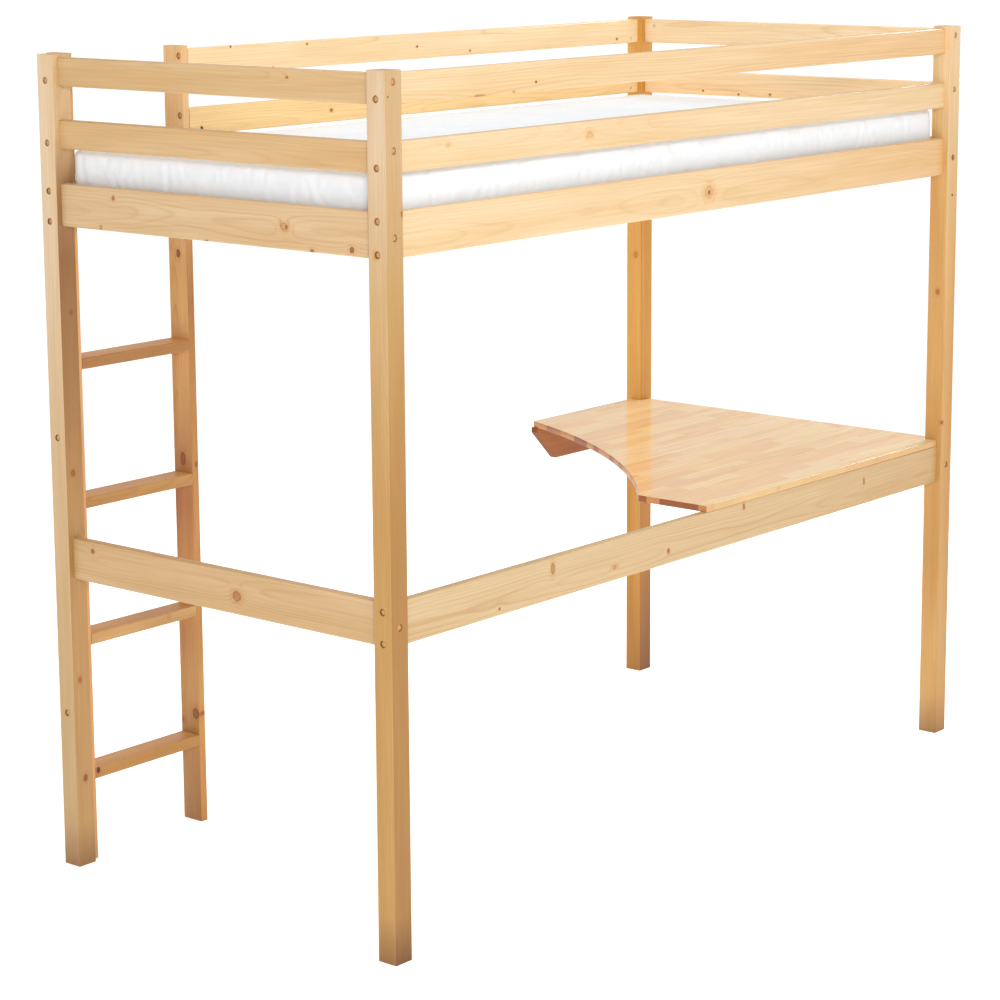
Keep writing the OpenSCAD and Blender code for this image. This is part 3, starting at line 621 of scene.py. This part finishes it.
def desktop():
    """Finger-jointed pine staves, glued edge to edge and lacquered to a shine."""
    g = Graph("pine_desktop")
    x, y, z = g.split(g.position)
    row_place = g.math("DIVIDE", g.math("ADD", y, 0.5), STAVE_WIDTH)
    row = g.math("FLOOR", row_place)
    lucky = g.node("ShaderNodeTexWhiteNoise", {"W": row}, "Value", noise_dimensions="1D")
    run = g.math("DIVIDE", x, STAVE_LENGTH)
    run = g.math("ADD", run, g.math("MULTIPLY", lucky, 7.3))
    stretch = g.noise(g.join(g.math("MULTIPLY", run, 1.1), row), detail=0.0)
    run = g.math("ADD", run, g.math("MULTIPLY", stretch, 1.1))
    teeth = g.math("PINGPONG", y, TOOTH)
    run = g.math("ADD", run, g.math("MULTIPLY", teeth, 5.5))
    block = g.math("FLOOR", run)
    chance = g.node(
        "ShaderNodeTexWhiteNoise", {"Vector": g.join(row, block, 2.0)}, "Color",
        noise_dimensions="3D",
    )
    luck = g.split(chance)

    # Each stave is a strip of its own board, with its own pith.
    across = g.math("SUBTRACT", g.math("FRACT", row_place), 0.5)
    across = g.math("MULTIPLY", across, STAVE_WIDTH)
    drift = g.noise(g.join(g.math("MULTIPLY", x, 3.0), row, block), detail=1.0, colour=True)
    drift = g.split(drift)
    squares = []
    above_pith = g.math("SUBTRACT", z, PITH_DEPTH)
    for i, (value, reach) in enumerate(((across, 0.10), (above_pith, 0.06))):
        shift = g.math("MULTIPLY", g.math("SUBTRACT", luck[i], 0.5), reach)
        sway = g.math("MULTIPLY", g.math("SUBTRACT", drift[i], 0.5), 0.012)
        gap = g.math("ADD", g.math("ADD", value, shift), sway)
        squares.append(g.math("MULTIPLY", gap, gap))
    radius = g.math("SQRT", g.math("ADD", *squares))
    phase = g.math("DIVIDE", radius, STAVE_RINGS)
    ring = g.ramp(
        g.math("FRACT", phase),
        (0.0, 0.75), (0.07, 0.10), (0.45, 0.0), (0.72, 0.30), (0.90, 1.0), (1.0, 0.75),
    )
    tint = g.ramp(
        luck[2],
        (0.0, srgb(250, 214, 162)), (0.2, srgb(254, 230, 178)), (0.4, srgb(253, 220, 166)),
        (0.6, srgb(254, 228, 184)), (0.8, srgb(250, 212, 166)), (1.0, srgb(254, 232, 188)),
    )
    tint.node.color_ramp.interpolation = "CONSTANT"
    seed = g.math("MULTIPLY", luck[1], 40.0)
    streaks = g.noise(
        g.join(g.math("MULTIPLY", x, 6.0), g.math("MULTIPLY", y, 240.0), seed),
        detail=3.0, roughness=0.6,
    )
    fibres = g.noise(
        g.join(g.math("MULTIPLY", x, 45.0), g.math("MULTIPLY", y, 1500.0), seed), detail=1.0
    )
    patches = g.noise(
        g.join(g.math("MULTIPLY", x, 4.0), g.math("MULTIPLY", y, 26.0), seed), detail=2.0
    )
    colour = g.mix(g.math("MULTIPLY", ring, 0.45), tint, g.mix(1.0, tint, LATEWOOD, "MULTIPLY"))
    colour = g.mix(g.ease(patches, 0.50, 0.80, 0.0, 0.42), colour, srgb(232, 174, 128))
    tone = g.ease(streaks, 0.25, 0.75)
    colour = g.mix(0.8, colour, g.mix(tone, (0.91, 0.87, 0.82), (1.03, 1.04, 1.05)), "MULTIPLY")
    colour = g.mix(g.ease(fibres, 0.62, 0.80, 0.0, 0.14), colour, (0.45, 0.26, 0.12))
    seam_gap = g.math("PINGPONG", g.math("ADD", y, 0.5), STAVE_WIDTH / 2)
    row_edge = g.ease(g.math("SUBTRACT", STAVE_WIDTH / 2, seam_gap), 0.0009, 0.0002)
    row_edge = g.math("MAXIMUM", row_edge, g.ease(g.math("FRACT", run), 0.003, 0.0006))
    colour = g.mix(g.math("MULTIPLY", row_edge, 0.22), colour, (0.42, 0.24, 0.12))

    # The sawn edges cut across the fibres and drink in the lacquer.
    sawn = g.math("LESS_THAN", g.math("ABSOLUTE", g.split(g.normal)[Z]), 0.7)
    facing = g.math("ABSOLUTE", g.split(g.normal)[X])
    cut = g.math("MULTIPLY", sawn, g.ease(facing, 0.25, 0.85))
    deeper = g.mix(g.ease(luck[0], 0.25, 0.75), srgb(208, 144, 88), srgb(156, 88, 46))
    arcs = g.mix(g.math("MULTIPLY", ring, 0.5), deeper, srgb(122, 64, 30))
    colour = g.mix(sawn, colour, (0.70, 0.57, 0.42), "MULTIPLY")
    colour = g.mix(cut, colour, arcs)
    rough = g.math("ADD", g.math("MULTIPLY", streaks, 0.07), 0.15)
    rough = g.math("ADD", rough, g.math("MULTIPLY", cut, 0.3))
    height = g.math("ADD", g.math("MULTIPLY", streaks, 0.4), g.math("MULTIPLY", row_edge, -0.8))
    g.set(Base_Color=colour, Roughness=rough, Normal=g.bump(height, 0.18, 0.00015))
    g.set(Coat_Weight=0.10, Coat_Roughness=0.10)
    g.give("desktop")


# ---------------------------------------------------------------- small parts


def steel():
    """Zinc plated steel, bright with a fine cloudy grain."""
    g = Graph("zinc_plated_steel")
    cloud = g.noise(g.position, scale=180.0, detail=3.0, roughness=0.6)
    fine = g.noise(g.position, scale=1400.0, detail=2.0)
    colour = g.mix(g.ease(cloud, 0.3, 0.7), (0.74, 0.76, 0.79), (0.90, 0.91, 0.92))
    rough = g.math("ADD", g.math("MULTIPLY", cloud, 0.22), 0.32)
    g.set(Base_Color=colour, Metallic=1.0, Roughness=rough, Normal=g.bump(fine, 0.15, 0.0001))
    g.give(*[name for name in NODES if name.endswith(("bolts", "nuts", "screws", "brackets"))])


def caps():
    """Wood-coloured plastic, moulded with a slight mottle, with painted shade round its steep rim.
    """
    g = Graph("bolt_cap_plastic")
    mottle = g.noise(g.position, scale=260.0, detail=3.0)
    lines = g.noise(g.vector("MULTIPLY", g.position, (900.0, 900.0, 120.0)), detail=2.0)
    colour = g.mix(g.ease(mottle, 0.3, 0.7), srgb(186, 134, 80), srgb(208, 158, 102))
    colour = g.mix(g.ease(lines, 0.55, 0.75, 0.0, 0.4), colour, srgb(164, 102, 50))
    # Painted shade: the cap darkens where its dome turns steep at the rim, as in the gap round it.
    steepest = g.math("MAXIMUM", *[g.math("ABSOLUTE", n) for n in g.split(g.normal)[:2]])
    colour = g.mix(g.ease(steepest, 0.985, 0.80, 0.0, 0.9), colour, srgb(96, 56, 26))
    rough = g.math("ADD", g.math("MULTIPLY", mottle, 0.2), 0.34)
    g.set(Base_Color=colour, Roughness=rough, Normal=g.bump(lines, 0.2, 0.0001))
    g.give("bolt_caps")


def dowels():
    """Pale beech with short dark flecks."""
    g = Graph("beech_dowel")
    flecks = g.noise(g.vector("MULTIPLY", g.position, (700.0, 700.0, 700.0)), detail=2.0)
    bands = g.noise(g.position, scale=60.0, detail=2.0)
    colour = g.mix(g.ease(bands, 0.3, 0.7), srgb(214, 176, 132), srgb(198, 156, 112))
    colour = g.mix(g.ease(flecks, 0.58, 0.72, 0.0, 0.5), colour, srgb(140, 96, 62))
    rough = g.math("ADD", g.math("MULTIPLY", flecks, 0.2), 0.5)
    g.set(Base_Color=colour, Roughness=rough, Normal=g.bump(flecks, 0.3, 0.0001))
    g.give("rail_dowels")


# ---------------------------------------------------------------- mattress

VOXEL = 0.0095
INSET = 0.0035
LIFT_CAP = 0.003
SIM_FRAMES = 20
FOAM_HOLD = 0.35
CORNER_RADIUS = 0.030
RIM_RADIUS = 0.014
THREAD = 0.0007


def rounded_block(low, high, corner, edge):
    """A closed block with corner-radius uprights and softly rounded rims."""
    made = bmesh.new()
    bmesh.ops.create_cube(made, size=1.0)
    size, middle = high - low, (low + high) / 2
    for vertex in made.verts:
        vertex.co = Vector(c * s for c, s in zip(vertex.co, size)) + middle
    uprights = [e for e in made.edges if abs(e.verts[0].co.z - e.verts[1].co.z) > 0.01]
    bmesh.ops.bevel(
        made, geom=uprights, offset=corner, segments=10, profile=0.5, affect="EDGES"
    )
    rims = [
        e for e in made.edges
        if abs(e.verts[0].co.z - e.verts[1].co.z) < 1e-6 and e.calc_face_angle(0.0) > 1.0
    ]
    bmesh.ops.bevel(made, geom=rims, offset=edge, segments=8, profile=0.5, affect="EDGES")
    mesh = bpy.data.meshes.new("mattress_form")
    made.to_mesh(mesh)
    made.free()
    return mesh


def fabric():
    """White cotton cover: fine plain weave, faint soft creases, a little sheen."""
    g = Graph("white_cotton")
    x, y, z = g.split(g.position)
    weave = [g.math("PINGPONG", g.math("ADD", first, z), THREAD) for first in (x, y)]
    thread = g.math("MULTIPLY", g.math("ADD", *weave), 900.0)
    crease_place = g.vector("MULTIPLY", g.position, (9.0, 13.0, 16.0))
    crease = g.noise(crease_place, detail=3.0, roughness=0.55)
    pucker = g.noise(g.vector("MULTIPLY", g.position, (46.0, 60.0, 40.0)), detail=2.0)
    slub = g.noise(g.vector("MULTIPLY", g.position, (60.0, 900.0, 900.0)), detail=2.0)
    # Painted shade: the cover is a shade darker in the hollows of the creases.
    colour = g.mix(g.ease(crease, 0.3, 0.7), (0.80, 0.835, 0.87), (0.83, 0.865, 0.90))
    colour = g.mix(g.ease(slub, 0.5, 0.8, 0.0, 0.25), colour, (0.75, 0.78, 0.81))
    rough = g.math("ADD", g.math("MULTIPLY", slub, 0.12), 0.80)
    height = g.math("ADD", g.math("MULTIPLY", thread, 0.12), g.math("MULTIPLY", slub, 0.2))
    height = g.math("ADD", height, g.math("MULTIPLY", crease, 1.6))
    height = g.math("ADD", height, g.math("MULTIPLY", pucker, 0.4))
    g.set(Base_Color=colour, Roughness=rough, Normal=g.bump(height, 0.35, 0.0010))
    g.set(Sheen_Weight=0.15, Sheen_Roughness=0.5)
    return g.material


def apply_modifiers(piece):
    """The piece's mesh as its modifiers leave it, with no modifier left."""
    graph = bpy.context.evaluated_depsgraph_get()
    mesh = bpy.data.meshes.new_from_object(piece.evaluated_get(graph))
    piece.modifiers.clear()
    piece.data = mesh


def mattress():
    """The cover over the CAD mattress: a rounded block that Cloth puffs by a few millimetres."""
    low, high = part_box("mattress")
    step = Vector((INSET, INSET, INSET))
    form = rounded_block(low + step, high - step, CORNER_RADIUS, RIM_RADIUS)
    piece = bpy.data.objects.new("mattress_cover", form)
    bpy.context.scene.collection.objects.link(piece)
    remesh = piece.modifiers.new("remesh", "REMESH")
    remesh.mode = "VOXEL"
    remesh.voxel_size = VOXEL
    remesh.use_smooth_shade = True
    apply_modifiers(piece)

    start = [vertex.co.copy() for vertex in piece.data.vertices]
    group = piece.vertex_groups.new(name="foam")
    group.add(list(range(len(start))), FOAM_HOLD, "REPLACE")
    cloth = piece.modifiers.new("cloth", "CLOTH").settings
    cloth.quality = 5
    cloth.mass = 0.25
    cloth.tension_stiffness = 18.0
    cloth.compression_stiffness = 18.0
    cloth.shear_stiffness = 8.0
    cloth.bending_stiffness = 0.35
    cloth.use_pressure = True
    cloth.uniform_pressure_force = 4.0
    cloth.shrink_min = -0.035
    cloth.vertex_group_mass = "foam"
    cloth.pin_stiffness = 0.6
    cloth.effector_weights.gravity = 0.0
    scene = bpy.context.scene
    for number in range(1, SIM_FRAMES + 1):
        scene.frame_set(number)
    apply_modifiers(piece)
    scene.frame_set(1)
    piece.vertex_groups.clear()
    for vertex, home in zip(piece.data.vertices, start):
        moved = vertex.co - home
        if moved.length > LIFT_CAP:
            vertex.co = home + moved.normalized() * LIFT_CAP
    piece.data.update()
    for polygon in piece.data.polygons:
        polygon.use_smooth = True
    smooth = piece.modifiers.new("subdivision", "SUBSURF")
    smooth.levels = smooth.render_levels = 1
    piece.data.materials.clear()
    piece.data.materials.append(fabric())
    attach(piece, "mattress")
    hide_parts("mattress")


# ---------------------------------------------------------------- edges of the timber

ROUNDED = 0.0012
SAME_POINT = 0.00002
SQUARE_EDGES = (
    "post_", "side_", "end_", "guard_", "desk_rail", "desktop", "ladder_", "slat_",
    "rung_1", "rung_2", "rung_3", "rung_4",
)


def soften_edges():
    """Eases the sharp edges of the timber, and of the guard and slat screws, by a millimetre."""
    for name, piece in NODES.items():
        if name.startswith(SQUARE_EDGES):
            weld = piece.modifiers.new("weld", "WELD")
            weld.merge_threshold = SAME_POINT
            bevel = piece.modifiers.new("bevel", "BEVEL")
            bevel.width = ROUNDED
            bevel.segments = 2
            bevel.limit_method = "ANGLE"
            bevel.angle_limit = math.radians(60.0)
            bevel.harden_normals = True
            bevel.use_clamp_overlap = True


# ---------------------------------------------------------------- stage


FLOOR_RADIUS = 80.0
FLOOR_DROP = 0.0005
GLOW = 0.56


def area_light(name, place, aim, size, power):
    """A round white lamp at place that points at aim."""
    data = bpy.data.lights.new(name, "AREA")
    data.shape = "DISK"
    data.size = size
    data.energy = power
    lamp = bpy.data.objects.new(name, data)
    lamp.location = place
    lamp.rotation_euler = (Vector(aim) - Vector(place)).to_track_quat("-Z", "Y").to_euler()
    bpy.context.scene.collection.objects.link(lamp)


def stage():
    """A plain pale floor that glows softly, an even white sky and four soft lamps."""
    made = bmesh.new()
    bmesh.ops.create_circle(made, cap_ends=True, segments=96, radius=FLOOR_RADIUS)
    mesh = bpy.data.meshes.new("studio_floor")
    made.to_mesh(mesh)
    made.free()
    floor = bpy.data.objects.new("studio_floor", mesh)
    floor.location.z = -FLOOR_DROP
    bpy.context.scene.collection.objects.link(floor)
    g = Graph("studio_floor")
    speck = g.noise(g.position, scale=30.0, detail=2.0)
    g.set(Base_Color=g.mix(speck, (0.90, 0.90, 0.90), (0.92, 0.92, 0.92)), Roughness=0.9)
    g.set(Specular_IOR_Level=0.0, Emission_Color=(1.0, 1.0, 1.0), Emission_Strength=GLOW)
    mesh.materials.append(g.material)

    world = bpy.data.worlds.new("studio")
    world.use_nodes = True
    sky = world.node_tree.nodes["Background"]
    sky.inputs["Color"].default_value = (1.0, 1.0, 1.0, 1.0)
    sky.inputs["Strength"].default_value = GLOW
    bpy.context.scene.world = world
    bpy.context.scene.view_settings.view_transform = "Standard"
    area_light("key", (-4.2, -3.9, 2.9), (0.0, 0.0, 1.1), 1.1, 104.0)
    area_light("front", (0.2, -4.4, 4.2), (0.2, 0.0, 0.9), 2.4, 36.0)
    area_light("top", (0.0, 0.2, 5.0), (0.0, 0.0, 1.0), 4.0, 60.0)
    area_light("desk", (3.6, 0.2, 2.1), (0.6, 0.0, 0.75), 1.4, 62.0)


make_camera()
wood()
desktop()
steel()
caps()
dowels()
mattress()
soften_edges()
stage()
